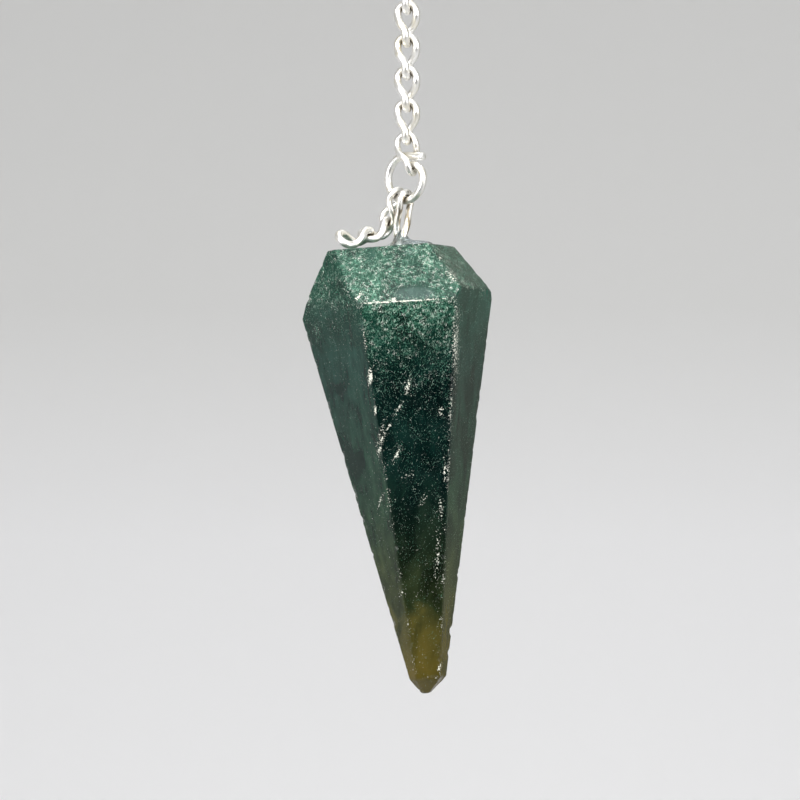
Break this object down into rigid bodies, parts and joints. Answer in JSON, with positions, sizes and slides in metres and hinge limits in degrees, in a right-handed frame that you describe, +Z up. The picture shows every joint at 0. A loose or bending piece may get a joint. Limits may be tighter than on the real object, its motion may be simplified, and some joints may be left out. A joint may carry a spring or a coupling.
{
  "type": "pendulum pendant",
  "caption": "Six-sided pointed green stone on a twisted wire eye, hung by a jump ring from a short chain of twisted links, with a loose chain tail lying on the stone's flat top.",
  "frame": {"origin": "inside top of the hang ring, where a hook or a finger carries the pendant", "axes": "+Z up along the hanging chain, -Y toward the front of the stone as pictured, +X to the right of the front view"},
  "size_m": [0.019, 0.0178, 0.0778],
  "materials": {
    "stone": "polished green moss agate with pale mica flecks, brown at the tip",
    "silver_plate": "bright silver-plated wire",
    "glue": "clear set resin glue"
  },
  "bodies": {
    "chain": {"hang_ring": "silver_plate", "chain_link_1": "silver_plate", "chain_link_2": "silver_plate", "chain_link_3": "silver_plate", "chain_link_4": "silver_plate", "chain_link_5": "silver_plate", "chain_link_6": "silver_plate"},
    "ring": {"jump_ring": "silver_plate"},
    "drop": {"stone": "stone", "eye_loop": "silver_plate", "glue_collar": "glue", "tail_link_1": "silver_plate", "tail_link_2": "silver_plate", "tail_link_3": "silver_plate"}
  },
  "joints": [
    {"name": "ring_swing", "type": "hinge", "parent": "chain", "child": "ring", "pos_m": [0.00059, -0.0005, -0.025], "axis": [0.6428, 0.766, 0], "range_deg": [-20, 14]},
    {"name": "drop_swing", "type": "hinge", "parent": "ring", "child": "drop", "pos_m": [-0.00014, 0.00012, -0.02772], "axis": [0.766, -0.6428, 0], "range_deg": [-15, 15]}
  ]
}
